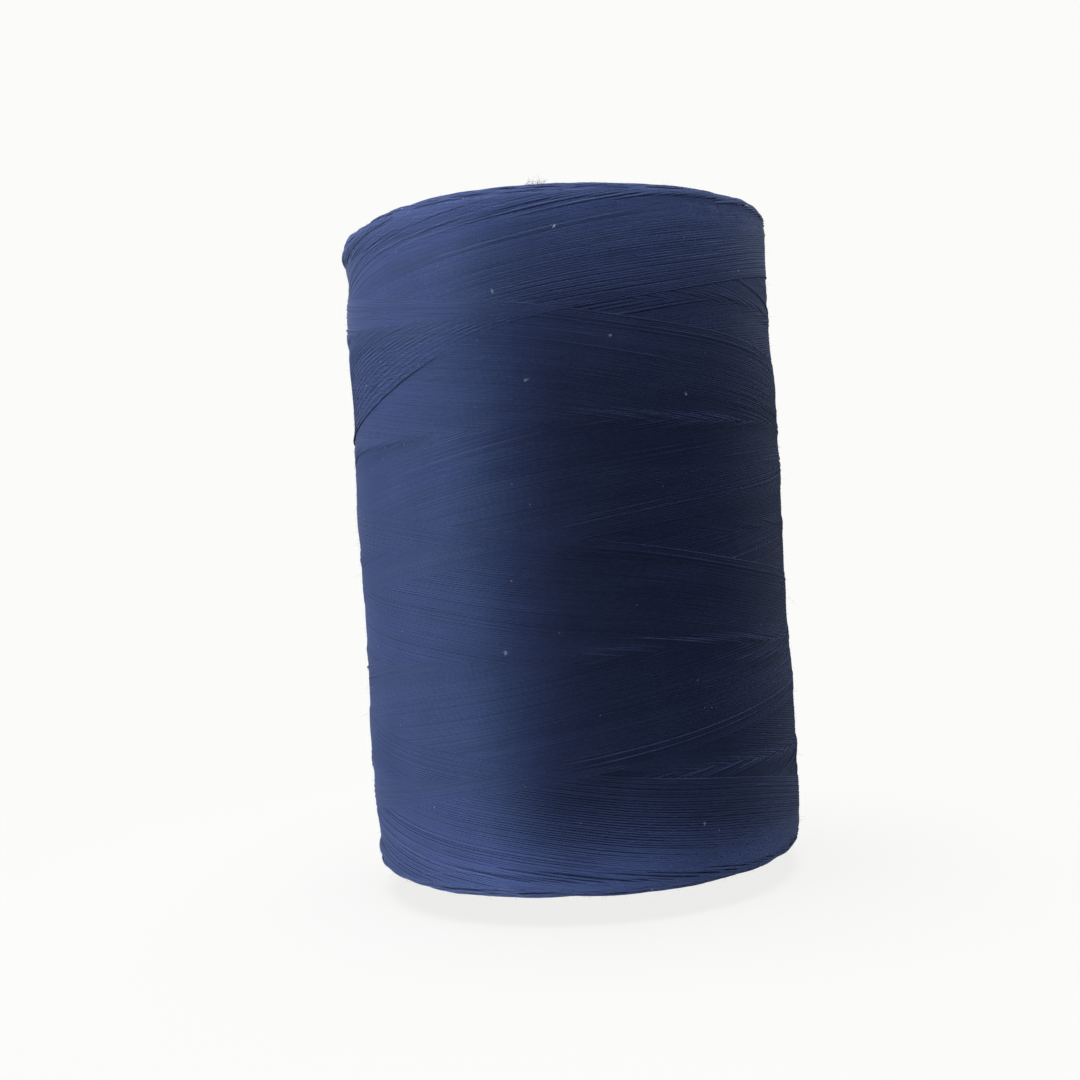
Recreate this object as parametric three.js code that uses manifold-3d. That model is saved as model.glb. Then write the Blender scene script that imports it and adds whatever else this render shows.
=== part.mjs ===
// A spool of sewing thread: a cross-wound package on a plain spiral-wound paperboard tube.
// Millimetres, +Z up along the tube. The origin is the centre of the tube's lower end.
import * as THREE from "three";
import { mergeVertices } from "three/addons/utils/BufferGeometryUtils.js";
import Module from "manifold-3d";

// Core tube: a hollow paperboard tube with burnished, rounded ends.
const TUBE_LENGTH = 102;
const TUBE_OUTER_RADIUS = 15;
const TUBE_WALL = 3;
const TUBE_NOSE_RADIUS = 0.8;

// Catch notch: a slot in the upper rim that holds the start of the thread.
const NOTCH_ANGLE = -30;
const NOTCH_WIDTH = 2;
const NOTCH_DEPTH = 2.2;

// Thread package: parallel sides, a slight waist and rounded shoulders.
const WINDING_LENGTH = 96;
const WINDING_RADIUS = 32.5;
const WINDING_WAIST = 0.2;
const SHOULDER_RADIUS = 3.3;
const INNER_CORNER_RADIUS = 0.6;

// Ticket label: a strip of paper rolled against the wall of the bore.
const LABEL_LENGTH = 46;
const LABEL_THICKNESS = 0.4;
const LABEL_TOP_BELOW_RIM = 16;

// Thread: the loose stretches are drawn a little thicker than the 0.25 mm yarn.
const THREAD_RADIUS = 0.25;
const CLEARANCE = 0.3;

// Start tail: turns on the bare end of the tube, then over the notch and down the bore.
const START_TURNS = 1.7;
const START_PITCH = 0.75;
const START_BORE_DROP = 11;

// Finish wrap: the last turn of thread, lying over the package and tucked in at the top shoulder.
const FINISH_FROM_ANGLE = 80;
const FINISH_TO_ANGLE = 382;
const FINISH_FROM_HEIGHT = 57;
const FINISH_TO_HEIGHT = 92;

const ROUND_SEGMENTS = 64;
const CORNER_DIVISIONS = 2;
const THREAD_DIVISIONS = 3;

const wasm = await Module();
wasm.setup();

const TUBE_INNER_RADIUS = TUBE_OUTER_RADIUS - TUBE_WALL;
const WINDING_BOTTOM = (TUBE_LENGTH - WINDING_LENGTH) / 2;
const WINDING_TOP = WINDING_BOTTOM + WINDING_LENGTH;

function material(colour, roughness) {
  return new THREE.MeshStandardMaterial({ color: colour, roughness, metalness: 0 });
}

const navyThread = material(0x27325a, 0.9);
const paperboard = material(0xb39c78, 0.85);
const labelPaper = material(0xe8e6df, 0.7);

function named(name, geometry, look) {
  const mesh = new THREE.Mesh(geometry, look);
  mesh.name = name;
  return mesh;
}

// A closed profile in radius and height, turned about the Z axis.
function turned(profile) {
  const geometry = new THREE.LatheGeometry(profile, ROUND_SEGMENTS);
  return geometry.rotateX(Math.PI / 2);
}

// A rectangle in radius and height with rounded corners, for lathe work.
function roundedSection(inner, outer, bottom, top, innerRound, outerRound, waist = 0) {
  const section = new THREE.Path();
  section.moveTo(inner + innerRound, bottom);
  section.lineTo(outer - outerRound, bottom);
  section.absarc(outer - outerRound, bottom + outerRound, outerRound, -Math.PI / 2, 0);
  const middle = (bottom + top) / 2;
  section.quadraticCurveTo(outer - 2 * waist, middle, outer, top - outerRound);
  section.absarc(outer - outerRound, top - outerRound, outerRound, 0, Math.PI / 2);
  section.lineTo(inner + innerRound, top);
  section.absarc(inner + innerRound, top - innerRound, innerRound, Math.PI / 2, Math.PI);
  section.lineTo(inner, bottom + innerRound);
  section.absarc(inner + innerRound, bottom + innerRound, innerRound, Math.PI, 1.5 * Math.PI);
  return section.getPoints(CORNER_DIVISIONS);
}

function solidFrom(geometry) {
  const bare = geometry.clone();
  bare.deleteAttribute("normal");
  bare.deleteAttribute("uv");
  const merged = mergeVertices(bare, 1e-4);
  return new wasm.Manifold(
    new wasm.Mesh({
      numProp: 3,
      vertProperties: merged.attributes.position.array,
      triVerts: new Uint32Array(merged.index.array),
    }),
  );
}

function geometryFrom(solid) {
  const mesh = solid.getMesh();
  const geometry = new THREE.BufferGeometry();
  geometry.setAttribute("position", new THREE.BufferAttribute(mesh.vertProperties, 3));
  geometry.setIndex(new THREE.BufferAttribute(mesh.triVerts, 1));
  geometry.computeVertexNormals();
  return geometry;
}

// A point on a cylinder about Z, its angle in degrees from +X.
function around(radius, angle, height) {
  const turn = THREE.MathUtils.degToRad(angle);
  return new THREE.Vector3(radius * Math.cos(turn), radius * Math.sin(turn), height);
}

// A round length of thread along a list of points.
function threadAlong(points, steps) {
  const section = new THREE.Shape();
  section.absarc(0, 0, THREAD_RADIUS, 0, 2 * Math.PI);
  return new THREE.ExtrudeGeometry(section, {
    steps,
    curveSegments: THREAD_DIVISIONS,
    extrudePath: new THREE.CatmullRomCurve3(points, false, "centripetal"),
  });
}

function coreTube() {
  const nose = TUBE_NOSE_RADIUS;
  const ring = roundedSection(TUBE_INNER_RADIUS, TUBE_OUTER_RADIUS, 0, TUBE_LENGTH, nose, nose);
  const overrun = 1;
  const slot = new THREE.BoxGeometry(TUBE_WALL + 2 * overrun, NOTCH_WIDTH, NOTCH_DEPTH + overrun);
  slot.translate(
    TUBE_INNER_RADIUS + TUBE_WALL / 2,
    0,
    TUBE_LENGTH - NOTCH_DEPTH + (NOTCH_DEPTH + overrun) / 2,
  );
  slot.rotateZ(THREE.MathUtils.degToRad(NOTCH_ANGLE));
  return geometryFrom(solidFrom(turned(ring)).subtract(solidFrom(slot)));
}

function threadWinding() {
  return turned(
    roundedSection(
      TUBE_OUTER_RADIUS + CLEARANCE,
      WINDING_RADIUS,
      WINDING_BOTTOM,
      WINDING_TOP,
      INNER_CORNER_RADIUS,
      SHOULDER_RADIUS,
      WINDING_WAIST,
    ),
  );
}

function boreLabel() {
  const outer = TUBE_INNER_RADIUS - CLEARANCE;
  const inner = outer - LABEL_THICKNESS;
  const top = TUBE_LENGTH - LABEL_TOP_BELOW_RIM;
  const bottom = top - LABEL_LENGTH;
  const section = [
    new THREE.Vector2(inner, bottom),
    new THREE.Vector2(outer, bottom),
    new THREE.Vector2(outer, top),
    new THREE.Vector2(inner, top),
    new THREE.Vector2(inner, bottom),
  ];
  return turned(section);
}

// The tail leaves the end face of the package, circles the bare tube and drops into the bore.
function startTail() {
  const clear = CLEARANCE + THREAD_RADIUS;
  const outside = TUBE_OUTER_RADIUS + clear;
  const inside = TUBE_INNER_RADIUS - clear;
  const lowest = WINDING_TOP + clear;
  const points = [];
  const pointsPerTurn = 24;
  const count = Math.round(START_TURNS * pointsPerTurn);
  const leadIn = 12;
  for (let i = 0; i <= count; i++) {
    const back = ((count - i) * 360) / pointsPerTurn;
    points.push(around(outside, NOTCH_ANGLE - leadIn - back, lowest + (START_PITCH * i) / pointsPerTurn));
  }
  const overNotch = TUBE_LENGTH - NOTCH_DEPTH + clear + 0.2;
  points.push(around(outside + 0.25, NOTCH_ANGLE - 4, overNotch));
  points.push(around(TUBE_OUTER_RADIUS, NOTCH_ANGLE, overNotch));
  points.push(around(TUBE_INNER_RADIUS + 0.6, NOTCH_ANGLE, overNotch));
  points.push(around(inside, NOTCH_ANGLE, overNotch - 0.5));
  points.push(around(inside, NOTCH_ANGLE + 3, overNotch - START_BORE_DROP / 2));
  points.push(around(inside, NOTCH_ANGLE + 10, overNotch - START_BORE_DROP));
  return threadAlong(points, 100);
}

function finishWrap() {
  const radius = WINDING_RADIUS + CLEARANCE + THREAD_RADIUS;
  const points = [];
  const stepAngle = 10;
  const count = Math.round((FINISH_TO_ANGLE - FINISH_FROM_ANGLE) / stepAngle);
  for (let i = 0; i <= count; i++) {
    const angle = THREE.MathUtils.lerp(FINISH_FROM_ANGLE, FINISH_TO_ANGLE, i / count);
    const height = THREE.MathUtils.lerp(FINISH_FROM_HEIGHT, FINISH_TO_HEIGHT, i / count);
    points.push(around(radius, angle, height));
  }
  return threadAlong(points, 80);
}

const spool = new THREE.Group();
spool.add(named("core_tube", coreTube(), paperboard));
spool.add(named("thread_winding", threadWinding(), navyThread));
spool.add(named("bore_label", boreLabel(), labelPaper));
spool.add(named("start_tail", startTail(), navyThread));
spool.add(named("finish_wrap", finishWrap(), navyThread));

export default spool;
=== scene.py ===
"""A spool of navy sewing thread: its looks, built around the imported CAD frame."""
import math

import bpy
import numpy as np
from mathutils import Matrix, Vector


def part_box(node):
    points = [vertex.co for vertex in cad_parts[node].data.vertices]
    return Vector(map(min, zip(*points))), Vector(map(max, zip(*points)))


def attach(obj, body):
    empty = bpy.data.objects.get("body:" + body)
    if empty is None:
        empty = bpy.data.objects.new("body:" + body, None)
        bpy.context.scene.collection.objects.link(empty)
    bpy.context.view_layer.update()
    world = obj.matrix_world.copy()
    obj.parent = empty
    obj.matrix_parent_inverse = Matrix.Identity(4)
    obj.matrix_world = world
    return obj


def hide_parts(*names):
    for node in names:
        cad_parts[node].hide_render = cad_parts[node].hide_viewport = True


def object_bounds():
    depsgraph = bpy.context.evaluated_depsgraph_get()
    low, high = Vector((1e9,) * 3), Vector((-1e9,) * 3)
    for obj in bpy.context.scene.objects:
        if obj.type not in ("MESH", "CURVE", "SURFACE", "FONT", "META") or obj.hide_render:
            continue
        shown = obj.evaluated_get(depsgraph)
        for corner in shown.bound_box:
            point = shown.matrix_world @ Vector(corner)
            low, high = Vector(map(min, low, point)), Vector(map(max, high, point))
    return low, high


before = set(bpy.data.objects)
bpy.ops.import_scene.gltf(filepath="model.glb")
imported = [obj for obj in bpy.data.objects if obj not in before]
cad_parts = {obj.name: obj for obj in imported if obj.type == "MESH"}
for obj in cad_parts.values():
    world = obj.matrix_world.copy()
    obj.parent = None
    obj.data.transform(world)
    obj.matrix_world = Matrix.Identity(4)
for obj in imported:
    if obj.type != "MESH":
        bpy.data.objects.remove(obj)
cad_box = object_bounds()

MM = 0.001  # metres in a millimetre; lengths below are in millimetres
rng = np.random.default_rng(20)  # the one source of every random draw


def box_mm(node):
    """The low and the high corner of a CAD node's box, in millimetres."""
    low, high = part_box(node)
    return np.array(low) / MM, np.array(high) / MM


# ---------------------------------------------------------------- sizes, from the frame

winding_low, winding_high = box_mm("thread_winding")
tube_low, tube_high = box_mm("core_tube")
label_low, label_high = box_mm("bore_label")

WINDING_RADIUS = (winding_high[0] - winding_low[0]) / 2
HALF_LENGTH = (winding_high[2] - winding_low[2]) / 2
MIDDLE = (winding_high[2] + winding_low[2]) / 2
TUBE_RADIUS = (tube_high[0] - tube_low[0]) / 2
TUBE_TOP = tube_high[2]
LABEL_RADIUS = (label_high[0] - label_low[0]) / 2

TUBE_WALL = 3.0
TUBE_NOSE = 0.8  # the rounding of the tube's ends
NOTCH_ANGLE = -30.0
NOTCH_WIDTH = 2.0
NOTCH_DEPTH = 2.2
SEAM_PITCH = 36.0  # the climb of the tube's spiral seam in a full turn
SEAM_HALF_WIDTH = 0.7
SEAM_DEPTH = 0.07
LABEL_THICKNESS = 0.13

SHOULDER = 3.3  # the radius of the package's rounded edges
WAIST = 0.2  # how much less the package's radius is at mid-height
RIM_BEAD = 47.3  # the bead's place on the meridian, from mid-height
BEAD_HEIGHT = 0.12
BEAD_HALF_WIDTH = 1.0
RIM_GROOVE = 45.4  # the groove's place on the meridian
GROOVE_DEPTH = 0.05
GROOVE_HALF_WIDTH = 0.6
UNDERLAYER_DEPTH = 0.45  # the closed surface behind the strands
WAVE_COUNT = 14

# ---------------------------------------------------------------- how the thread is wound

THREAD_WIDTH = 0.33
THREAD_HEIGHT = 0.20
STACK_HEIGHT = 0.085  # a strand squeezes into the ones below it
STROKE_TURNS = 3.0  # turns of the tube while the guide goes from one end to the other
STRAND_SPACING = 0.285  # between a strand and the next one laid beside it
COVERS = 2.1  # how many times over the strands cover the package, each way
REVERSAL = 46.7  # where the guide turns back, from mid-height along the surface
REVERSAL_SPREAD = 0.6  # how far the turning place moves to and fro
REVERSAL_CYCLE = 61.0  # strokes in half a cycle of that movement
REVERSAL_JITTER = 0.06
REVERSAL_ROUNDING = 0.010  # the part of a stroke over which the guide turns back
LAST_ANGLE = 93.0  # where the last stroke reaches the upper end
COLUMNS = 150  # steps round the package
CELL = 0.05  # of the height map, along the meridian
BURIED = 0.02  # a strand further than this under the others is left out
DEEPEST = 0.17  # no strand lies further than this from the mean level
LAYERS = 8  # pieces that the strands are shared out over
SIDES = 5  # of a strand's section
PLY_WIDTH = 0.16  # of a loose stretch of thread, which is built as two plies
PLY_LEAD = 0.95

SIDE = HALF_LENGTH - SHOULDER
CORNER = SIDE + SHOULDER * math.pi / 2
LEAD = 2 * REVERSAL / STROKE_TURNS
CREEP = STRAND_SPACING / LEAD
STROKES = 2 * int(COVERS / CREEP) + 1

# The last turns of the thread fan out below the regular ones, and the very last is the finish wrap.
FAN_DROP = 7.0
FAN_PAIRS = 16.0  # pairs of strokes over which the fan fades out
FAN_OPEN = (20.0, 90.0)  # angles between which the strands leave their regular places
FAN_CLOSE = (188.0, 270.0)  # and come back to them
WRAP_FROM = 80.0
WRAP_TO = 382.0

# Where the package stands proud of a true cylinder, or is pressed in:
# angle, place on the meridian, half-width in degrees, half-height, and how proud in millimetres
UNEVEN_SPOTS = (
    (188, 45.4, 20, 1.0, 0.30),
    (188, 40.4, 22, 3.2, -0.62),
    (190, 22.0, 18, 5.0, -0.30),
    (188, 5.0, 22, 11.0, 0.55),
    (188, -32.0, 22, 10.0, 0.22),
    (188, -42.5, 22, 2.4, -0.30),
    (353, 45.0, 18, 2.5, 0.30),
    (354, 18.0, 20, 7.0, 0.22),
    (351, -25.0, 22, 11.0, 0.48),
    (352, -48.5, 16, 2.0, -0.60),
    (338, 47.5, 14, 1.5, 0.35),
    (60, 40.0, 30, 5.0, 0.30),
    (120, -30.0, 30, 9.0, -0.25),
    (20, 5.0, 30, 12.0, 0.20),
)


def smooth_step(low, high, value):
    """A soft step from 0 at low to 1 at high."""
    part = np.clip((value - low) / (high - low), 0, 1)
    return part * part * (3 - 2 * part)


def meridian(q):
    """Radius, height and outward normal where the way up the surface from mid-height is q."""
    q = np.asarray(q, float)
    up = np.where(q < 0, -1.0, 1.0)
    way = np.abs(q)
    turn = np.clip((way - SIDE) / SHOULDER, 0, math.pi / 2)
    across = np.maximum(way - CORNER, 0)
    hollow = WAIST * (1 - np.minimum(way / SIDE, 1) ** 2)
    radius = WINDING_RADIUS - SHOULDER * (1 - np.cos(turn)) - across - hollow
    height = MIDDLE + up * (np.minimum(way, SIDE) + SHOULDER * np.sin(turn))
    return radius, height, np.cos(turn), up * np.sin(turn)


def make_waves():
    """Slow ripples of the surface: periods round and along, phase and size."""
    waves = []
    for _ in range(WAVE_COUNT):
        around, along = rng.integers(1, 6), rng.uniform(0.03, 0.16)
        waves.append((around, along, rng.uniform(0, 2 * math.pi), rng.uniform(0.02, 0.055)))
    return waves


WAVES = make_waves()


def rim_bead(angle, q):
    """The lumpy bead along each shoulder, where the thread turns back, and the groove beside it."""
    turn = np.radians(angle)
    way = np.abs(q)
    lumps = 0.09 * np.sin(17 * turn + 0.1 * q)
    lumps = lumps + 0.07 * np.sin(29 * turn + 2 * np.sin(3 * turn) - 0.1 * q)
    bead = (BEAD_HEIGHT + lumps) * np.exp(-(((way - RIM_BEAD) / BEAD_HALF_WIDTH) ** 2))
    groove = GROOVE_DEPTH * np.exp(-(((way - RIM_GROOVE) / GROOVE_HALF_WIDTH) ** 2))
    return bead - groove


def unevenness(angle, q):
    """How far the package stands proud of its meridian, at an angle in degrees.

    On the end faces the ripples and spots weaken, and low rings take over.
    """
    turn = np.radians(angle)
    total = np.zeros(np.broadcast(angle, q).shape)
    for around, along, phase, size in WAVES:
        total = total + size * np.sin(around * turn + along * q + phase)
    for spot_angle, spot_q, wide, high, proud in UNEVEN_SPOTS:
        off = (angle - spot_angle + 180) % 360 - 180
        total = total + proud * np.exp(-((off / wide) ** 2) - ((q - spot_q) / high) ** 2)
    face = np.clip((np.abs(q) - CORNER) / 3, 0, 1)
    rings = 0.10 * np.sin(np.abs(q) * 2.1) + 0.07 * np.sin(np.abs(q) * 4.7 + 2 * np.sin(turn))
    return total * (1 - 0.6 * face) + rings * face + rim_bead(angle, q)


def on_surface(angle, q, lift):
    """Points at a lift above the uneven surface, and the surface's normals there."""
    angle, q, lift = np.broadcast_arrays(angle, q, lift)
    radius, height, out, up = meridian(q)
    lift = lift + unevenness(angle, q)
    turn = np.radians(angle)
    reach = radius + lift * out
    point = np.stack([reach * np.cos(turn), reach * np.sin(turn), height + lift * up], -1)
    normal = np.stack([out * np.cos(turn), out * np.sin(turn), up], -1)
    return point, normal


def guide_path(samples):
    """The guide's place on the meridian at each sample of the thread, and the stroke's number."""
    stroke = samples / COLUMNS / (STROKE_TURNS + CREEP / 2)
    number = np.floor(stroke).astype(int)
    part = stroke - number
    count = np.arange(STROKES + 2)
    breathing = REVERSAL_SPREAD * np.sin(math.pi * count / REVERSAL_CYCLE)
    ends = REVERSAL + breathing + rng.uniform(-REVERSAL_JITTER, REVERSAL_JITTER, len(count))
    w = REVERSAL_ROUNDING
    eased = np.where(part < w, part**2 / (2 * w) + w / 2, part)
    eased = np.where(part > 1 - w, 1 - (1 - part) ** 2 / (2 * w) - w / 2, eased)
    eased = (eased - w / 2) / (1 - w)
    rising = number % 2 == 0
    start = np.where(rising, -ends[number], ends[number])
    stop = np.where(rising, ends[number + 1], -ends[number + 1])
    return start + (stop - start) * eased, number


def wander(samples, number, q):
    """Small drifts along the meridian: some shared by neighbours, and a little of each strand's own."""
    turn = 2 * math.pi * samples / COLUMNS
    slow = number / 60.0
    shared = 0.24 * np.sin(2.0 * turn + 0.07 * q + slow)
    shared = shared + 0.16 * np.sin(5.0 * turn - 0.11 * q + 1.7 * slow)
    own = 0.020 * np.sin(turn / 1.37 + 2.4 * number) + 0.014 * np.sin(turn * 1.9 + 5.1 * number)
    pairs = 0.018 * np.cos(math.pi / 2 * number) * np.sin(0.8 * turn + 0.05 * number)
    fade = np.clip((REVERSAL - np.abs(q)) / 6, 0, 1)
    return (shared + own + pairs) * fade


def third_turn_angle(samples, number):
    """The angle along a stroke, counted so that its third turn runs on from LAST_ANGLE."""
    stroke_start = number * (STROKE_TURNS + CREEP / 2) * 360
    return samples * 360 / COLUMNS - stroke_start - 360 * (STROKE_TURNS - 1) + LAST_ANGLE


def fan(samples, number):
    """How far the last rising strands of the thread sag below the regular ones."""
    angle = third_turn_angle(samples, number)
    age = (STROKES - 1 - number) / 2
    opened = smooth_step(*FAN_OPEN, angle) * (1 - smooth_step(*FAN_CLOSE, angle))
    return np.where(number % 2 == 0, -FAN_DROP * opened * np.exp(-age / FAN_PAIRS), 0)


def running(values, reach, pick):
    """A running maximum or mean over reach samples each way."""
    padded = np.pad(values, reach, mode="edge")
    windows = np.lib.stride_tricks.sliding_window_view(padded, 2 * reach + 1)
    return pick(windows, axis=-1)


def lay_down(samples, row, rows):
    """Lays the thread turn by turn over a height map. Returns each sample's lift and the map.

    The thread is taut, so it bridges the dips between the strands below it.
    """
    height = np.zeros((COLUMNS, rows))
    column = samples % COLUMNS
    lift = np.zeros(len(samples))
    contact = np.arange(-1, 2)
    width = np.arange(-2, 3)
    crown = STACK_HEIGHT / 2 * np.sqrt(1 - (width * CELL / (THREAD_WIDTH / 2)) ** 2)
    reach = 3
    behind = None
    for start in range(0, len(samples), COLUMNS):
        stop = min(start + COLUMNS, len(samples))
        here = slice(start, min(stop + reach, len(samples)))
        under = height[column[here, None], row[here, None] + contact].max(axis=1)
        resting = under + STACK_HEIGHT / 2
        if behind is None:
            behind = np.repeat(resting[0], reach)
        taut = running(np.concatenate([behind, resting]), 2, np.max)
        taut = running(taut, 2, np.mean)[reach : reach + stop - start]
        lift[start:stop] = taut
        behind = resting[stop - start - reach : stop - start]
        cells = (column[start:stop, None], row[start:stop, None] + width)
        height[cells] = np.maximum(height[cells], taut[:, None] + crown)
    return lift, height


def find_shown(lift, height, row, column):
    """Which samples can be seen between the strands laid over them."""
    shown = np.zeros(len(lift), bool)
    for offset in (-2, 0, 2):
        crown = STACK_HEIGHT / 2 * math.sqrt(1 - (offset * CELL / (THREAD_WIDTH / 2)) ** 2)
        shown |= height[column, row + offset] <= lift + crown + BURIED
    return running(shown.astype(float), 2, np.max) > 0


def mean_level(height):
    """The mean height of the map at each place on the meridian."""
    places = (np.arange(height.shape[1]) - height.shape[1] // 2) * CELL
    laid = (height > 0).sum(axis=0)
    level = height.sum(axis=0) / np.maximum(laid, 1)
    level = np.interp(places, places[laid > 0], level[laid > 0])
    return places, running(level, 12, np.mean)


def wind():
    """The thread of the outer layers: points, normals, tones, stroke numbers, what shows, the wrap."""
    samples = np.arange(int(STROKES * (STROKE_TURNS + CREEP / 2) * COLUMNS))
    q, number = guide_path(samples)
    q = q + wander(samples, number, q) + fan(samples, number)
    rows = int(2 * (CORNER + 1) / CELL)
    row = np.clip(np.round(q / CELL).astype(int) + rows // 2, 5, rows - 6)
    lift, height = lay_down(samples, row, rows)
    shown = find_shown(lift, height, row, samples % COLUMNS)
    places, level = mean_level(height)
    lift = lift - np.interp(q, places, level)
    lift = DEEPEST * np.tanh(lift / DEEPEST)
    angle = LAST_ANGLE + (samples - len(samples)) * 360 / COLUMNS
    points, normals = on_surface(angle, q, lift - (THREAD_HEIGHT - STACK_HEIGHT) / 2)
    tone = rng.normal(0, 0.30, STROKES + 2)[number] + 0.2 * np.sin(samples / 31.0 + number)
    turned = third_turn_angle(samples, number)
    last = number == STROKES - 1
    wrap = last & (turned >= WRAP_FROM) & (turned <= WRAP_TO)
    shown[last & (turned >= WRAP_FROM)] = False
    return points, normals, np.clip(tone, -1, 1), number, shown, np.where(wrap)[0]


# ---------------------------------------------------------------- meshes


def new_piece(name, shape, material, replaced=None):
    """A mesh in millimetres as a piece that rides on the spool.

    A shape is vertices, faces, uv and tone. Its quads are shaded smooth, and its end caps flat.
    """
    vertices, faces, uv, tone = shape
    mesh = bpy.data.meshes.new(name)
    mesh.from_pydata((np.asarray(vertices) * MM).tolist(), [], faces)
    sizes = np.zeros(len(mesh.polygons), int)
    mesh.polygons.foreach_get("loop_total", sizes)
    mesh.polygons.foreach_set("use_smooth", sizes == 4)
    if uv is not None:
        mesh.uv_layers.new(name="thread")
        mesh.uv_layers["thread"].data.foreach_set("uv", np.asarray(uv, np.float32).ravel())
    if tone is not None:
        mesh.attributes.new("tone", "FLOAT", "POINT")
        mesh.attributes["tone"].data.foreach_set("value", np.asarray(tone, np.float32))
    mesh.materials.append(material)
    mesh.update()
    piece = bpy.data.objects.new(name, mesh)
    bpy.context.scene.collection.objects.link(piece)
    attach(piece, "root")
    if replaced:
        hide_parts(replaced)


def unit(vectors):
    """The vectors at a length of 1."""
    return vectors / np.linalg.norm(vectors, axis=-1, keepdims=True)


def strands(points, normals, runs, tone, wide, high, sides=SIDES):
    """Closed oval tubes along runs of points. A run is a first and a last index."""
    step = np.linalg.norm(np.diff(points, axis=0), axis=1)
    length = np.concatenate([[0], np.cumsum(step)])
    wide = np.broadcast_to(wide, len(points))
    high = np.broadcast_to(high, len(points))
    turn = 2 * math.pi * (np.arange(sides) + 0.5) / sides
    side = np.arange(sides)[None, :]
    after = (side + 1) % sides
    vertices, faces, uvs, tones = [], [], [], []
    base = 0
    for first, last in runs:
        run = slice(first, last + 1)
        count = last - first + 1
        tangent = unit(np.gradient(points[run], axis=0))
        across = unit(np.cross(tangent, normals[run]))
        up = np.cross(across, tangent)
        ring = points[run, None] + across[:, None] * (wide[run, None] / 2 * np.cos(turn))[..., None]
        ring = ring + up[:, None] * (high[run, None] / 2 * np.sin(turn))[..., None]
        vertices.append(ring.reshape(-1, 3))
        tones.append(np.repeat(tone[run], sides))
        here = np.arange(count - 1)[:, None] * sides + base
        quads = np.stack([here + side, here + after, here + sides + after, here + sides + side], -1)
        faces.extend(quads.reshape(-1, 4).tolist())
        near = np.repeat(length[first:last, None], sides, 1)
        far = np.repeat(length[first + 1 : last + 1, None], sides, 1)
        low = np.repeat(side / sides, count - 1, 0)
        top = low + 1 / sides
        corners = [np.stack(pair, -1) for pair in ((near, low), (near, top), (far, top), (far, low))]
        uvs.append(np.stack(corners, -2).reshape(-1, 2))
        faces.append(list(range(base + sides - 1, base - 1, -1)))
        faces.append(list(range(base + (count - 1) * sides, base + count * sides)))
        uvs.append(np.repeat([[length[first], 0.5], [length[last], 0.5]], sides, 0))
        base += count * sides
    return np.concatenate(vertices), faces, np.concatenate(uvs), np.concatenate(tones)


def runs_of(flags, breaks):
    """First and last index of each stretch of true flags, cut at the breaks."""
    edges = np.diff(np.concatenate([[0], flags.astype(int), [0]]))
    found = []
    for first, last in zip(np.where(edges == 1)[0], np.where(edges == -1)[0] - 1):
        inside = breaks[(breaks > first) & (breaks < last)]
        cuts = [first, *inside, last]
        found += [(a, b) for a, b in zip(cuts[:-1], cuts[1:]) if b - a >= 2]
    return found


def grid_faces(columns, rows, close_columns, close_rows):
    """Quads over a grid of vertices, rows within columns."""
    faces = []
    for i in range(columns if close_columns else columns - 1):
        a, b = i * rows, (i + 1) % columns * rows
        for j in range(rows if close_rows else rows - 1):
            k = (j + 1) % rows
            faces.append((a + j, b + j, b + k, a + k))
    return faces


def curve_through(points, step):
    """A smooth curve through a few points, at even steps."""
    points = np.asarray(points, float)
    ends = np.concatenate([[2 * points[0] - points[1]], points, [2 * points[-1] - points[-2]]])
    part = np.linspace(0, 1, 24, endpoint=False)[:, None]
    pieces = []
    for a, b, c, d in zip(ends[:-3], ends[1:-2], ends[2:-1], ends[3:]):
        cubic = (-a + 3 * b - 3 * c + d) * part**3 + (2 * a - 5 * b + 4 * c - d) * part**2
        pieces.append(0.5 * (cubic + (c - a) * part + 2 * b))
    dense = np.concatenate([*pieces, points[-1:]])
    way = np.concatenate([[0], np.cumsum(np.linalg.norm(np.diff(dense, axis=0), axis=1))])
    places = np.linspace(0, way[-1], max(4, int(way[-1] / step)))
    return np.stack([np.interp(places, way, dense[:, axis]) for axis in range(3)], -1)


def twisted(path, normals, ply_width, lead, fray=0.0):
    """Two plies twisted round each other along a path. The ends come apart by the fray."""
    tangent = unit(np.gradient(path, axis=0))
    across = unit(np.cross(tangent, normals))
    up = np.cross(across, tangent)
    way = np.concatenate([[0], np.cumsum(np.linalg.norm(np.diff(path, axis=0), axis=1))])
    from_end = np.minimum(way, way[-1] - way)
    apart = ply_width * 0.46 + fray * np.exp(-from_end / 0.5)
    count = len(path)
    points, all_normals, tones = [], [], []
    for ply in range(2):
        turn = (2 * math.pi * way / lead + math.pi * ply + 0.3 * np.sin(way / 3.1))[:, None]
        around = across * np.cos(turn) + up * np.sin(turn)
        points.append(path + around * apart[:, None])
        all_normals.append(around)
        tones.append(np.full(count, 0.35 - 0.5 * ply) + 0.2 * np.sin(way * 2.3 + ply))
    points, all_normals = np.concatenate(points), np.concatenate(all_normals)
    runs = [(0, count - 1), (count, 2 * count - 1)]
    return strands(points, all_normals, runs, np.concatenate(tones), ply_width, ply_width, 6)


# ---------------------------------------------------------------- materials


def node_material(name, roughness, specular=0.5, sheen=0.0, sheen_tint=(1, 1, 1)):
    """A material with a Principled shader, and what its functions need to build on."""
    material = bpy.data.materials.new(name)
    material.use_nodes = True
    nodes, links = material.node_tree.nodes, material.node_tree.links
    shader = nodes["Principled BSDF"]
    shader.inputs["Roughness"].default_value = roughness
    shader.inputs["Specular IOR Level"].default_value = specular
    shader.inputs["Sheen Weight"].default_value = sheen
    shader.inputs["Sheen Roughness"].default_value = 0.5
    shader.inputs["Sheen Tint"].default_value = (*sheen_tint, 1)
    return material, nodes, links, shader


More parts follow.
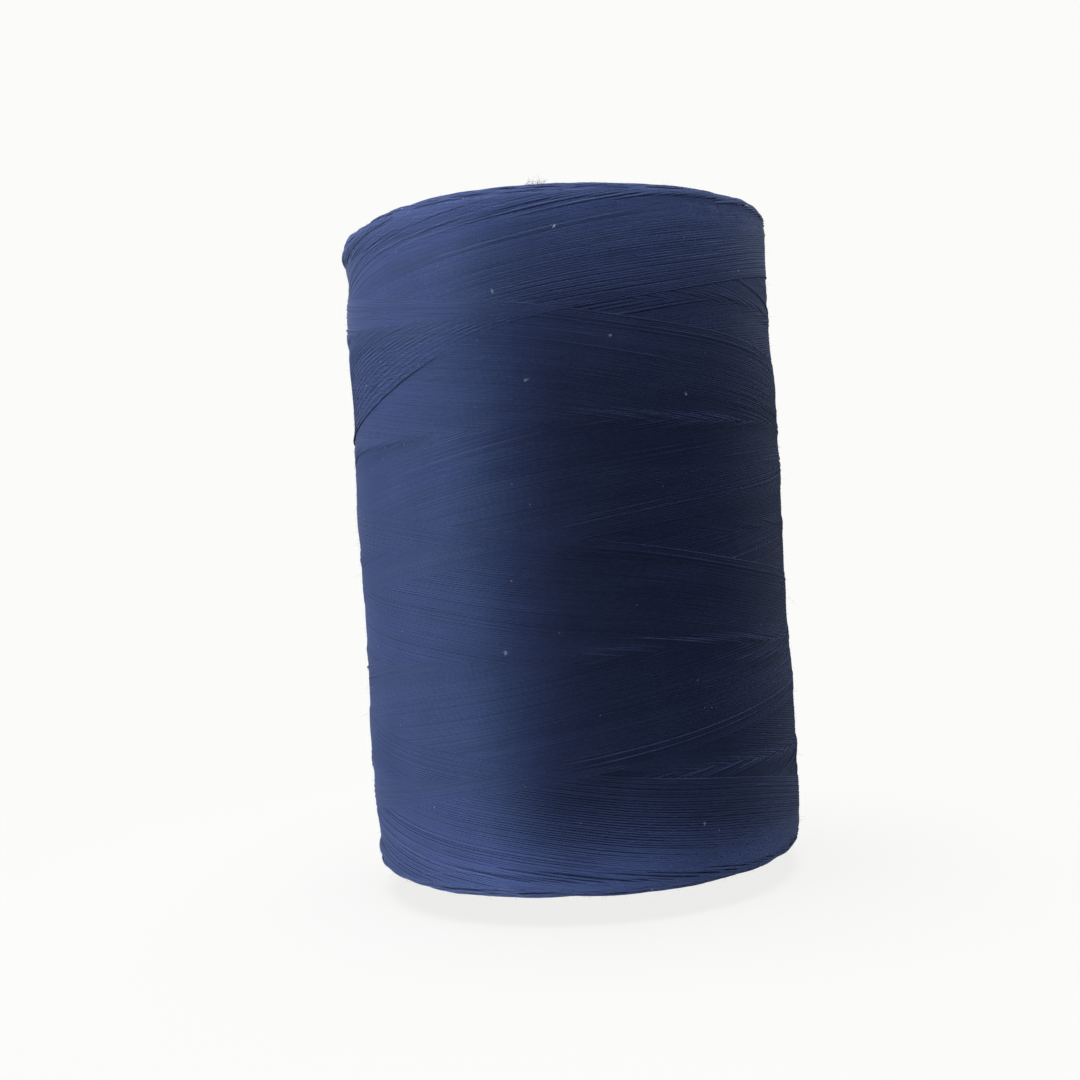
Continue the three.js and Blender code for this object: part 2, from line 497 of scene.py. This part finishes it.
def add(nodes, kind, **settings):
    """A node with inputs and properties set by name."""
    node = nodes.new(kind)
    for name, value in settings.items():
        if name in node.inputs:
            node.inputs[name].default_value = value
        else:
            setattr(node, name, value)
    return node


def multiply_add(nodes, links, source, factor, addend):
    """A node for source * factor + addend, where the addend is an output or a number."""
    node = add(nodes, "ShaderNodeMath", operation="MULTIPLY_ADD")
    links.new(source, node.inputs[0])
    node.inputs[1].default_value = factor
    if isinstance(addend, bpy.types.NodeSocket):
        links.new(addend, node.inputs[2])
    else:
        node.inputs[2].default_value = addend
    return node.outputs[0]


def colour_ramp(nodes, links, source, stops):
    """A colour ramp over a source. A stop is a place and a colour."""
    node = nodes.new("ShaderNodeValToRGB")
    elements = node.color_ramp.elements
    while len(elements) < len(stops):
        elements.new(0.5)
    for element, (place, colour) in zip(elements, stops):
        element.position = place
        element.color = (*colour, 1)
    links.new(source, node.inputs["Fac"])
    return node.outputs["Color"]


def noise(nodes, links, vector, scale, detail, rough):
    node = add(nodes, "ShaderNodeTexNoise", Scale=scale, Detail=detail, Roughness=rough)
    links.new(vector, node.inputs["Vector"])
    return node.outputs["Fac"]


def roughness_from(nodes, links, source, shader, low, high):
    """Roughness that follows a source between two values."""
    node = nodes.new("ShaderNodeMapRange")
    node.inputs["To Min"].default_value = low
    node.inputs["To Max"].default_value = high
    links.new(source, node.inputs["Value"])
    links.new(node.outputs["Result"], shader.inputs["Roughness"])


def bump_from(nodes, links, source, shader, strength, distance):
    """Fine relief that follows a source. The distance is in metres."""
    node = add(nodes, "ShaderNodeBump", Strength=strength, Distance=distance)
    links.new(source, node.inputs["Height"])
    links.new(node.outputs["Normal"], shader.inputs["Normal"])


def ply_stripes(nodes, links, lead):
    """Light and dark stripes that follow the twist of the two plies: in the colour they are painted
    shade in the grooves between the plies, and in the bump they are relief.
    """
    strand = add(nodes, "ShaderNodeUVMap", uv_map="thread")
    split = nodes.new("ShaderNodeSeparateXYZ")
    links.new(strand.outputs["UV"], split.inputs["Vector"])
    turns = multiply_add(nodes, links, split.outputs["X"], 1 / lead, split.outputs["Y"])
    angle = multiply_add(nodes, links, turns, 4 * math.pi, 0.0)
    stripes = add(nodes, "ShaderNodeMath", operation="SINE")
    links.new(angle, stripes.inputs[0])
    return stripes.outputs[0]


def thread_material(name, colour):
    """Spun polyester: two twisted plies, matt and slightly hairy."""
    material, nodes, links, shader = node_material(
        name, roughness=0.8, specular=0.12, sheen=0.10, sheen_tint=(0.52, 0.67, 1.0)
    )
    place = nodes.new("ShaderNodeTexCoord").outputs["Object"]
    tone = add(nodes, "ShaderNodeAttribute", attribute_name="tone").outputs["Fac"]
    plies = ply_stripes(nodes, links, 0.9)
    fibres = noise(nodes, links, place, 5200.0, 4.0, 0.65)
    patches = noise(nodes, links, place, 160.0, 3.0, 0.55)
    # the ply stripes darken the colour in the grooves between the plies: painted shade
    mixed = multiply_add(nodes, links, plies, 0.05, fibres)
    mixed = multiply_add(nodes, links, tone, 0.15, mixed)
    mixed = multiply_add(nodes, links, patches, 0.24, mixed)
    centred = multiply_add(nodes, links, mixed, 1.0, -0.12)
    dark = tuple(0.70 * c for c in colour)
    light = tuple(1.26 * c + 0.003 for c in colour)
    shade = colour_ramp(nodes, links, centred, [(0.26, dark), (0.5, colour), (0.76, light)])
    links.new(shade, shader.inputs["Base Color"])
    roughness_from(nodes, links, fibres, shader, 0.70, 0.92)
    relief = multiply_add(nodes, links, plies, 0.5, fibres)
    bump_from(nodes, links, relief, shader, 0.45, 0.00003)
    return material


def paperboard_material():
    """Kraft paperboard: short fibres, darker flecks and faint stains."""
    material, nodes, links, shader = node_material("kraft_paperboard", roughness=0.82, specular=0.3)
    place = nodes.new("ShaderNodeTexCoord").outputs["Object"]
    stretched = add(nodes, "ShaderNodeMapping")
    stretched.inputs["Scale"].default_value = (1.0, 1.0, 0.35)
    links.new(place, stretched.inputs["Vector"])
    fibres = noise(nodes, links, stretched.outputs["Vector"], 2600.0, 5.0, 0.7)
    flecks = noise(nodes, links, place, 900.0, 2.0, 0.5)
    stains = noise(nodes, links, place, 60.0, 3.0, 0.6)
    mixed = multiply_add(nodes, links, flecks, 0.30, fibres)
    mixed = multiply_add(nodes, links, stains, 0.30, mixed)
    centred = multiply_add(nodes, links, mixed, 1.0, -0.30)
    kraft = [(0.25, (0.20, 0.125, 0.066)), (0.5, (0.40, 0.275, 0.165)), (0.78, (0.56, 0.42, 0.28))]
    links.new(colour_ramp(nodes, links, centred, kraft), shader.inputs["Base Color"])
    roughness_from(nodes, links, fibres, shader, 0.70, 0.92)
    bump_from(nodes, links, mixed, shader, 0.5, 0.00005)
    return material


def label_material():
    """Uncoated paper with a plain navy band printed near each edge."""
    material, nodes, links, shader = node_material("ticket_paper", roughness=0.78, specular=0.3)
    place = nodes.new("ShaderNodeTexCoord").outputs["Object"]
    fibres = noise(nodes, links, place, 3800.0, 4.0, 0.7)
    stains = noise(nodes, links, place, 90.0, 3.0, 0.6)
    paper = [(0.2, (0.60, 0.57, 0.49)), (0.55, (0.76, 0.74, 0.68)), (0.85, (0.84, 0.83, 0.79))]
    mixed = multiply_add(nodes, links, stains, 0.3, fibres)
    sheet = colour_ramp(nodes, links, mixed, paper)
    strip = add(nodes, "ShaderNodeUVMap", uv_map="thread")
    split = nodes.new("ShaderNodeSeparateXYZ")
    links.new(strip.outputs["UV"], split.inputs["Vector"])
    ragged = multiply_add(nodes, links, fibres, 0.02, split.outputs["Y"])
    white, ink = (1.0, 1.0, 1.0), (0.05, 0.07, 0.16)
    bands = [(0.0, white), (0.075, ink), (0.155, white), (0.875, ink), (0.955, white)]
    band = colour_ramp(nodes, links, ragged, bands)
    band.node.color_ramp.interpolation = "CONSTANT"
    printed = add(nodes, "ShaderNodeMix", data_type="RGBA", blend_type="MULTIPLY")
    printed.inputs["Factor"].default_value = 1.0
    links.new(sheet, printed.inputs[6])
    links.new(band, printed.inputs[7])
    links.new(printed.outputs[2], shader.inputs["Base Color"])
    roughness_from(nodes, links, fibres, shader, 0.66, 0.88)
    bump_from(nodes, links, fibres, shader, 0.35, 0.00004)
    return material


NAVY = (0.0175, 0.0300, 0.0900)
navy_thread = thread_material("navy_thread", NAVY)
# the thread's navy at 0.75 for the layers below: the darkening is painted shade for the deeper layers
# between the strands
navy_shaded_copy = thread_material("underlayer_navy_shaded", tuple(0.75 * c for c in NAVY))
pale_lint = thread_material("pale_lint", (0.20, 0.24, 0.34))
kraft_board = paperboard_material()
ticket_paper = label_material()

# ---------------------------------------------------------------- the package


def winding_layers(points, normals, tone, number, shown):
    """The outer layers of the package, strand by strand, oldest first."""
    breaks = np.where(np.diff(number) > 0)[0]
    runs = runs_of(shown, breaks)
    sizes = np.cumsum([last - first for first, last in runs])
    layer_of = np.minimum(sizes * LAYERS // sizes[-1], LAYERS - 1)
    for layer in range(LAYERS):
        mine = [run for run, own in zip(runs, layer_of) if own == layer]
        shape = strands(points, normals, mine, tone, THREAD_WIDTH, THREAD_HEIGHT)
        new_piece(f"wound_layer_{layer + 1}", shape, navy_thread, "thread_winding")


def finish_wrap(points, normals, wrap):
    """The last turn of the thread, lying on the package with both ends sunk among their neighbours."""
    step = 0.13
    proud = 0.03
    sunk_at_ends = 0.22
    sinks_over = 2.0
    path = curve_through(points[wrap] + normals[wrap] * proud, step)
    way = np.linspace(0, 1, len(path))
    outward = unit(path * (1, 1, 0))
    from_end = np.minimum(way, 1 - way) * len(path) * step
    sunk = sunk_at_ends * np.exp(-((from_end / sinks_over) ** 2))
    shape = twisted(path - outward * sunk[:, None], outward, PLY_WIDTH, PLY_LEAD)
    new_piece("finish_wrap_thread", shape, navy_thread, "finish_wrap")


def end_turns(name, up):
    """The turn-backs that make an end face: short arcs that rise out of the package and sink again."""
    points, normals, runs, tones = [], [], [], []
    count = 0
    arcs = 15
    ring_turn = 137.5  # from one ring to the next, so that no seams line up
    ring_gap = 0.235
    first_q = REVERSAL + 0.2
    last_q = CORNER + (WINDING_RADIUS - SHOULDER) - (TUBE_RADIUS + 0.45)
    for ring in range(int((last_q - first_q) / ring_gap)):
        ring_q = first_q + ring * ring_gap
        radius = float(meridian(ring_q)[0])
        for arc in range(arcs):
            middle = ring * ring_turn + arc * 360 / arcs + rng.uniform(-7, 7)
            half_span = 17 * rng.uniform(0.75, 1.25)
            steps = max(5, int(2 * math.radians(half_span) * radius / 1.5))
            along = np.linspace(-1, 1, steps)
            q = ring_q + rng.uniform(-0.1, 0.1) + rng.uniform(-0.16, 0.16) * along
            sink = (0.55 + 0.3 * rng.random()) * along**2
            lift = -0.5 * THREAD_HEIGHT + rng.uniform(-0.12, 0.06) - sink
            point, normal = on_surface(middle + half_span * along, up * q, lift)
            points.append(point)
            normals.append(normal)
            tones.append(np.full(steps, np.clip(rng.normal(0, 0.35), -1, 1)))
            runs.append((count, count + steps - 1))
            count += steps
    points, normals = np.concatenate(points), np.concatenate(normals)
    shape = strands(points, normals, runs, np.concatenate(tones), THREAD_WIDTH * 0.95, THREAD_HEIGHT)
    new_piece(name, shape, navy_thread, "thread_winding")


def underlayer():
    """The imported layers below, as one closed ring round the tube."""
    angle = np.arange(240) * 1.5
    face_way = WINDING_RADIUS - SHOULDER - TUBE_RADIUS - 0.3
    q = np.concatenate([
        np.linspace(-CORNER - face_way, -CORNER, 24)[:-1],
        np.linspace(-CORNER, -SIDE, 10)[:-1],
        np.linspace(-SIDE, SIDE, 120)[:-1],
        np.linspace(SIDE, CORNER, 10)[:-1],
        np.linspace(CORNER, CORNER + face_way, 24),
    ])
    point, _ = on_surface(angle[:, None], q[None, :], -UNDERLAYER_DEPTH)
    shape = (point.reshape(-1, 3), grid_faces(len(angle), len(q), True, True), None, None)
    # its darker copy of the navy thread is painted shade, not a different thread
    new_piece("wound_underlayer", shape, navy_shaded_copy, "thread_winding")


def hairs(origin, direction, length, curl, radius, steps):
    """Thin curved fibres from their roots outward."""
    count = len(origin)
    part = np.linspace(0, 1, steps)[None, :, None]
    bend = unit(np.cross(direction, rng.normal(size=(count, 3))))
    twist = unit(np.cross(direction, bend))
    size = length[:, None, None]
    path = origin[:, None] + size * part * direction[:, None]
    path = path + size * curl * part**2 * bend[:, None]
    path = path + size * 0.3 * curl * np.sin(part * 5) * twist[:, None]
    normals = np.repeat(twist[:, None], steps, 1).reshape(-1, 3)
    runs = [(i * steps, (i + 1) * steps - 1) for i in range(count)]
    tone = np.repeat(rng.uniform(-0.4, 1, count), steps)
    taper = np.tile(np.linspace(1, 0.45, steps), count) * 2 * radius
    return strands(path.reshape(-1, 3), normals, runs, tone, taper, taper, 3)


def stray_fibres():
    """Fibre ends that stand out of the spun thread, all over the package."""
    count = 8800
    angle = rng.uniform(0, 360, count)
    face_way = WINDING_RADIUS - SHOULDER - TUBE_RADIUS - 1
    q = rng.uniform(-CORNER - face_way * 0.8, CORNER + face_way * 0.8, count)
    root, normal = on_surface(angle, q, np.full(count, -0.05))
    turn = np.radians(angle)
    sense = rng.choice([-1, 1], count)[:, None]
    around = np.stack([-np.sin(turn), np.cos(turn), np.zeros(count)], -1) * sense
    leaning = rng.normal(size=(count, 3)) * 0.35
    direction = unit(around + normal * rng.uniform(0.15, 0.9, count)[:, None] + leaning)
    length = rng.gamma(2.2, 0.13, count) + 0.12
    length = length * np.where(rng.random(count) < 0.04, 2.2, 1.0)
    shape = hairs(root, direction, length, curl=0.5, radius=0.012, steps=4)
    new_piece("stray_fibres", shape, navy_thread)


# Lint caught on the surface: angle and place on the meridian
LINT = (
    (322.5, 36.6), (254.8, 33.7), (252.6, -14.4), (298.5, -39.2), (300.8, 18.9), (282.0, 26.9),
    (270.3, 41.6), (261.5, 21.6), (20.0, 10.0), (47.0, -30.0), (95.0, 25.0), (140.0, -8.0),
    (168.0, 38.0),
)


def lint_specks():
    """Small tangles of pale fluff caught on the thread."""
    paths, normals, runs, tones = [], [], [], []
    steps = 22
    specks = [(angle, q, 0.06, 5) for angle, q in LINT]
    specks += [(rng.uniform(0, 360), rng.uniform(-CORNER, CORNER), 0.02, 2) for _ in range(110)]
    for angle, q, size, threads in specks:
        centre, normal = on_surface(float(angle), float(q), 0.06)
        for _ in range(threads):
            walk = np.cumsum(rng.normal(size=(steps, 3)) * size, axis=0)
            walk = smoothed(walk - walk.mean(axis=0))
            walk = walk - normal * (walk @ normal)[:, None] * 0.6
            runs.append((len(paths) * steps, (len(paths) + 1) * steps - 1))
            paths.append(centre + walk)
            normals.append(np.repeat(unit(rng.normal(size=3))[None], steps, 0))
            tones.append(np.full(steps, rng.uniform(-0.5, 1)))
    points, normals = np.concatenate(paths), np.concatenate(normals)
    shape = strands(points, normals, runs, np.concatenate(tones), 0.05, 0.05, 4)
    new_piece("lint_specks", shape, pale_lint)


def smoothed(path):
    """A path, averaged over three points."""
    padded = np.concatenate([path[:1], path, path[-1:]])
    return (padded[:-2] + padded[1:-1] + padded[2:]) / 3


def rim_tuft():
    """A few fibres that stand up where a strand rubs on the upper shoulder."""
    count = 34
    angle = rng.normal(266, 1.1, count)
    q = CORNER - 1.6 + rng.normal(0, 0.3, count)
    root, normal = on_surface(angle, q, np.zeros(count))
    direction = unit(normal + rng.normal(size=(count, 3)) * 0.7 + np.array([0, 0, 0.3]))
    length = rng.uniform(0.35, 0.95, count)
    shape = hairs(root, direction, length, curl=0.8, radius=0.018, steps=7)
    new_piece("rim_tuft", shape, navy_thread)


# ---------------------------------------------------------------- the tube and its label


def tube_profile():
    """Radius and height round the tube's wall: up outside, over the rim, down the bore and under."""
    bore = TUBE_RADIUS - TUBE_WALL
    turn = np.linspace(0, math.pi / 2, 7)
    outer = TUBE_RADIUS - TUBE_NOSE * (1 - np.cos(turn))
    inner = bore + TUBE_NOSE * (1 - np.cos(turn))
    rise = TUBE_NOSE * np.sin(turn)
    low, high = TUBE_NOSE, TUBE_TOP - TUBE_NOSE
    face = np.linspace(TUBE_RADIUS - TUBE_NOSE, bore + TUBE_NOSE, 24)[1:-1]
    plies = 0.05 * np.cos((face - bore) * 2 * math.pi / 0.42) - 0.05
    ends = np.linspace(0, 1, 9)[1:-1]
    outside = np.concatenate([low + ends * 5, np.linspace(low + 6, high - 6, 14), high - 5 + ends * 5])
    inside = np.linspace(high, low, 132)[1:-1]
    radius = [outer[::-1], np.full(len(outside), TUBE_RADIUS), outer, face, inner[::-1]]
    radius += [np.full(len(inside), bore), inner, face[::-1]]
    height = [low - rise[::-1], outside, high + rise, TUBE_TOP + plies, high + rise[::-1]]
    height += [inside, low - rise, -plies[::-1]]
    return np.concatenate(radius), np.concatenate(height)


def core_tube():
    """A spirally wound paperboard tube with a notch pressed into the upper rim."""
    radius, height = tube_profile()
    half_notch = math.degrees(NOTCH_WIDTH / 2 / TUBE_RADIUS)
    columns = np.arange(0, 360, 1.5)
    near_edge = (-0.35, 0.0, 0.35)
    edges = [NOTCH_ANGLE % 360 + side * (half_notch + out) for side in (-1, 1) for out in near_edge]
    angle = np.sort(np.concatenate([columns, edges]))
    off = np.abs((angle - NOTCH_ANGLE + 180) % 360 - 180)
    pressed = 1 - smooth_step(half_notch - 0.36, half_notch + 0.36, off)
    top_part = np.clip((height - (TUBE_TOP - 6)) / 6, 0, 1)
    z = height[None, :] - NOTCH_DEPTH * pressed[:, None] * top_part[None, :] ** 1.5
    from_seam = height[None, :] - SEAM_PITCH * angle[:, None] / 360 + SEAM_PITCH / 2
    from_seam = from_seam % SEAM_PITCH - SEAM_PITCH / 2
    seam = SEAM_DEPTH * np.exp(-((from_seam / SEAM_HALF_WIDTH) ** 2))
    wall = np.where(radius > TUBE_RADIUS - TUBE_WALL / 2, -1.0, 1.0)[None, :]
    soft = 0.03 * np.sin(3 * np.radians(angle))[:, None]
    r = radius[None, :] + wall * seam + soft
    turn = np.radians(angle)[:, None]
    vertices = np.stack([r * np.cos(turn), r * np.sin(turn), z], -1).reshape(-1, 3)
    shape = (vertices, grid_faces(len(angle), len(radius), True, True), None, None)
    new_piece("paperboard_tube", shape, kraft_board, "core_tube")


def bore_label():
    """A paper strip rolled in the bore, its inner end overlapping and lifting a little."""
    low, high = label_low[2], label_high[2]
    last = 374
    sweep = np.linspace(0, last, 190)
    overlap = 0.17 * smooth_step(340, 352, sweep)
    lifted = 0.5 * smooth_step(338, last, sweep) ** 3
    centre = LABEL_RADIUS - 0.01 - overlap - lifted
    rows = 26
    height = np.linspace(low, high, rows)
    from_middle = (height - (low + high) / 2) / (high - low) * 2
    curl = 0.10 * from_middle**6
    r_out = centre[:, None] + LABEL_THICKNESS / 2 - curl[None, :]
    r_in = r_out - LABEL_THICKNESS
    turn = np.radians(sweep + 140)[:, None]
    z = np.broadcast_to(height, r_out.shape)
    out = np.stack([r_out * np.cos(turn), r_out * np.sin(turn), z], -1)
    back = np.stack([r_in * np.cos(turn), r_in * np.sin(turn), z], -1)
    loop = np.concatenate([out, back[:, ::-1]], axis=1)
    columns, ring = loop.shape[:2]
    faces = grid_faces(columns, ring, False, True)
    faces += [(j, j + 1, ring - 2 - j, ring - 1 - j) for j in range(rows - 1)]
    end = (columns - 1) * ring
    faces += [(end + ring - 1 - j, end + ring - 2 - j, end + j + 1, end + j) for j in range(rows - 1)]
    across = np.concatenate([np.linspace(0, 1, rows), np.linspace(1, 0, rows)])
    corners = [vertex for face in faces for vertex in face]
    uv = np.array([(vertex // ring / columns, across[vertex % ring]) for vertex in corners])
    shape = (loop.reshape(-1, 3), faces, uv, None)
    new_piece("rolled_label", shape, ticket_paper, "bore_label")


def start_tail():
    """The start of the thread: turns on the bare tube, over the notch and down the bore."""
    outside = TUBE_RADIUS + 0.17
    inside = TUBE_RADIUS - TUBE_WALL - 0.2
    lowest = winding_high[2] + 0.25
    over = TUBE_TOP - NOTCH_DEPTH + 0.16

    def place(radius, angle, height):
        turn = math.radians(angle)
        return (radius * math.cos(turn), radius * math.sin(turn), height)

    turns, per_turn = 1.7, 24
    count = round(turns * per_turn)
    path = []
    for i in range(count + 1):
        angle = NOTCH_ANGLE - 14 - (count - i) * 360 / per_turn
        path.append(place(outside, angle, lowest + 0.36 * i / per_turn + 0.03 * math.sin(i)))
    path.append(place(outside + 0.02, NOTCH_ANGLE - 5, over - 0.05))
    path.append(place(TUBE_RADIUS - 0.3, NOTCH_ANGLE - 0.5, over + 0.05))
    path.append(place(TUBE_RADIUS - TUBE_WALL / 2, NOTCH_ANGLE, over + 0.07))
    path.append(place(inside + 0.5, NOTCH_ANGLE, over))
    path.append(place(inside, NOTCH_ANGLE + 0.5, over - 1.0))
    path.append(place(inside - 0.1, NOTCH_ANGLE + 3, over - 5.0))
    path.append(place(inside - 0.5, NOTCH_ANGLE + 7, over - 9.0))
    path.append(place(inside - 0.3, NOTCH_ANGLE + 13, over - 11.5))
    path = curve_through(path, 0.12)
    shape = twisted(path, unit(path * (1, 1, 0)) + (0, 0, 0.05), PLY_WIDTH, PLY_LEAD, 0.06)
    new_piece("start_tail_thread", shape, navy_thread, "start_tail")


points, normals, tone, number, shown, wrap = wind()
winding_layers(points, normals, tone, number, shown)
finish_wrap(points, normals, wrap)
end_turns("end_turns_top", 1)
end_turns("end_turns_bottom", -1)
underlayer()
stray_fibres()
lint_specks()
rim_tuft()
core_tube()
bore_label()
start_tail()

# ---------------------------------------------------------------- camera, light and stage

# Lengths below are in metres, angles in degrees and powers in watts.
VIEW_DISTANCE = 0.2126
VIEW_ELEVATION = 0.2
VIEW_ROLL = -3.457
VIEW_SHIFT = -0.0293  # the spool stands a little to the right of the picture's middle
LENS = 45.45
KEY_DISTANCE = 0.5
KEY_ANGLE = 205.0
KEY_EDGE = 0.0247  # the key's right-hand edge, from the spool's axis
KEY_WIDTH = 0.12
KEY_HEIGHT = 0.3
KEY_POWER = 0.232
KEY_SPREAD = 2.3
RING_SPREAD = 100.0
RING_START = 35  # the angle of a ring's first strip
RING_SHARES = (0.4, 0.8, 0.9, 0.6, 0.25, 1.3, 0.65, 0.32)  # of the power, strip by strip
FLOOR_REACH = 0.6
FLOOR_FADE = (0.05, 0.17)  # from the spool's axis, where the floor starts to fade and where it ends
FLOOR_GREY = 0.11
FLOOR_GLOW = 0.835  # the floor glows, so it keeps pace with the backdrop and shadows stay faint


def add_camera():
    """The photograph's view: nearly level, close by and a little rolled."""
    data = bpy.data.cameras.new("camera")
    data.lens = LENS
    data.sensor_width = 36
    data.shift_x = VIEW_SHIFT
    data.clip_start = 0.01
    camera = bpy.data.objects.new("camera", data)
    bpy.context.scene.collection.objects.link(camera)
    rise = math.radians(VIEW_ELEVATION)
    target = Vector((0, 0, MIDDLE * MM))
    place = target + VIEW_DISTANCE * Vector((0, -math.cos(rise), math.sin(rise)))
    look = (target - place).to_track_quat("-Z", "Y").to_matrix().to_4x4()
    roll = Matrix.Rotation(math.radians(VIEW_ROLL), 4, "Z")
    camera.matrix_world = Matrix.Translation(place) @ look @ roll
    bpy.context.scene.camera = camera


def add_light(name, place, size, power, target, spread=180.0):
    """A rectangular light that faces its target and that the camera doesn't see."""
    data = bpy.data.lights.new(name, "AREA")
    data.shape = "RECTANGLE"
    data.size, data.size_y = size
    data.energy = power
    data.spread = math.radians(spread)
    light = bpy.data.objects.new(name, data)
    light.location = place
    light.rotation_euler = (Vector(target) - Vector(place)).to_track_quat("-Z", "Y").to_euler()
    light.visible_camera = False
    bpy.context.scene.collection.objects.link(light)
    return light


def light_only(light, objects, state):
    """Keeps a light to the given objects (INCLUDE), or off them (EXCLUDE)."""
    receivers = bpy.data.collections.new(light.name + "_receivers")
    for item in objects:
        receivers.objects.link(item)
    for link in receivers.collection_objects:
        link.light_linking.link_state = state
    light.light_linking.receiver_collection = receivers


def light_ring(name, radius, height, high, power, aim):
    """Strips of light round the spool, facing the winding at the height of aim.

    The height is that of the strips' middle, high is how high a strip is, and each strip has its own
    share of the power.
    """
    lights = []
    strips = len(RING_SHARES)
    across = 2 * radius * math.tan(math.pi / strips)
    for k, share in enumerate(RING_SHARES):
        turn = math.radians(RING_START + 360 / strips * k)
        out = Vector((math.cos(turn), math.sin(turn), 0))
        place = radius * out + Vector((0, 0, height))
        target = WINDING_RADIUS * MM * out + Vector((0, 0, aim))
        strip = add_light(f"{name}_{k}", place, (across, high), share * power, target, RING_SPREAD)
        lights.append(strip)
    return lights


def add_lights(floor):
    """A gridded key from the left, weak soft lights all round, and a ring of light at each shoulder.

    The floor has a light of its own, from overhead, which the spool shades.
    """
    centre = Vector((0, 0, MIDDLE * MM))
    turn = math.radians(KEY_ANGLE)
    toward = Vector((math.cos(turn), math.sin(turn), 0))
    aside = Vector((-math.sin(turn), math.cos(turn), 0)) * (KEY_EDGE - KEY_WIDTH / 2)
    place = centre + KEY_DISTANCE * toward + aside
    key = add_light("key", place, (KEY_WIDTH, KEY_HEIGHT), KEY_POWER, centre + aside, KEY_SPREAD)
    right = add_light("right", (0.476, 0.275, 0.10), (0.3, 0.4), 1.04, centre)
    right.data.color = (0.86, 0.94, 1.0)
    front = add_light("front", (0.0, -0.6, 0.12), (0.5, 0.5), 1.60, centre)
    front.data.color = (1.0, 0.92, 0.86)
    back = add_light("back", (-0.19, 0.52, 0.16), (0.4, 0.4), 1.3, centre)
    top = add_light("top", (0, 0, 0.5), (0.14, 0.14), 0.115, centre, 14.0)
    upper = light_ring("upper", radius=0.060, height=0.100, high=0.012, power=0.0036, aim=0.100)
    lower = light_ring("lower", radius=0.0415, height=0.0022, high=0.004, power=0.0012, aim=0.0055)
    for light in (key, right, front, back, top, *upper, *lower):
        light_only(light, [floor], "EXCLUDE")
    overhead = add_light("overhead", (-0.05, 0, 0.7), (0.6, 0.6), 7.5, (0, 0, 0))
    light_only(overhead, [floor], "INCLUDE")


def add_world():
    """A pale backdrop for the camera, and a much weaker light from all round."""
    world = bpy.data.worlds.new("studio")
    bpy.context.scene.world = world
    world.use_nodes = True
    nodes, links = world.node_tree.nodes, world.node_tree.links
    nodes.clear()
    seen = add(nodes, "ShaderNodeBackground", Color=(0.965, 0.965, 0.955, 1), Strength=1.0)
    lit = add(nodes, "ShaderNodeBackground", Color=(0.97, 0.98, 1.0, 1), Strength=0.02)
    path = nodes.new("ShaderNodeLightPath")
    mix = nodes.new("ShaderNodeMixShader")
    out = nodes.new("ShaderNodeOutputWorld")
    links.new(path.outputs["Is Camera Ray"], mix.inputs[0])
    links.new(lit.outputs[0], mix.inputs[1])
    links.new(seen.outputs[0], mix.inputs[2])
    links.new(mix.outputs[0], out.inputs[0])


def add_floor():
    """A pale floor that fades into the backdrop."""
    steps, rings = 96, 30
    angle = np.arange(steps) * 2 * math.pi / steps
    radius = np.linspace(0, FLOOR_REACH, rings + 1)[1:]
    ring = np.stack([np.cos(angle), np.sin(angle), np.zeros(steps)], -1)
    vertices = np.concatenate([[[0, 0, 0]], (radius[:, None, None] * ring[None]).reshape(-1, 3)])
    faces = [(0, 1 + i, 1 + (i + 1) % steps) for i in range(steps)]
    for r in range(rings - 1):
        a, b = 1 + r * steps, 1 + (r + 1) * steps
        faces += [(a + i, b + i, b + (i + 1) % steps, a + (i + 1) % steps) for i in range(steps)]
    mesh = bpy.data.meshes.new("floor")
    mesh.from_pydata(vertices.tolist(), [], faces)
    material, nodes, links, shader = node_material("pale_floor", roughness=0.9, specular=0.1)
    shader.inputs["Base Color"].default_value = (FLOOR_GREY, FLOOR_GREY, FLOOR_GREY, 1)
    shader.inputs["Emission Color"].default_value = (1.0, 1.0, 0.99, 1)
    shader.inputs["Emission Strength"].default_value = FLOOR_GLOW
    place = nodes.new("ShaderNodeTexCoord")
    distance = add(nodes, "ShaderNodeVectorMath", operation="LENGTH")
    links.new(place.outputs["Object"], distance.inputs[0])
    fade = nodes.new("ShaderNodeMapRange")
    fade.interpolation_type = "SMOOTHSTEP"
    fade.inputs["From Min"].default_value = FLOOR_FADE[0]
    fade.inputs["From Max"].default_value = FLOOR_FADE[1]
    links.new(distance.outputs["Value"], fade.inputs["Value"])
    clear = nodes.new("ShaderNodeBsdfTransparent")
    mix = nodes.new("ShaderNodeMixShader")
    links.new(fade.outputs["Result"], mix.inputs[0])
    links.new(shader.outputs[0], mix.inputs[1])
    links.new(clear.outputs[0], mix.inputs[2])
    links.new(mix.outputs[0], nodes["Material Output"].inputs["Surface"])
    mesh.materials.append(material)
    floor = bpy.data.objects.new("floor", mesh)
    bpy.context.scene.collection.objects.link(floor)
    floor.location.z = cad_box[0].z - 0.0002
    floor.visible_diffuse = False
    floor.visible_glossy = False
    return floor


add_camera()
add_world()
add_lights(add_floor())
bpy.context.scene.view_settings.view_transform = "Standard"
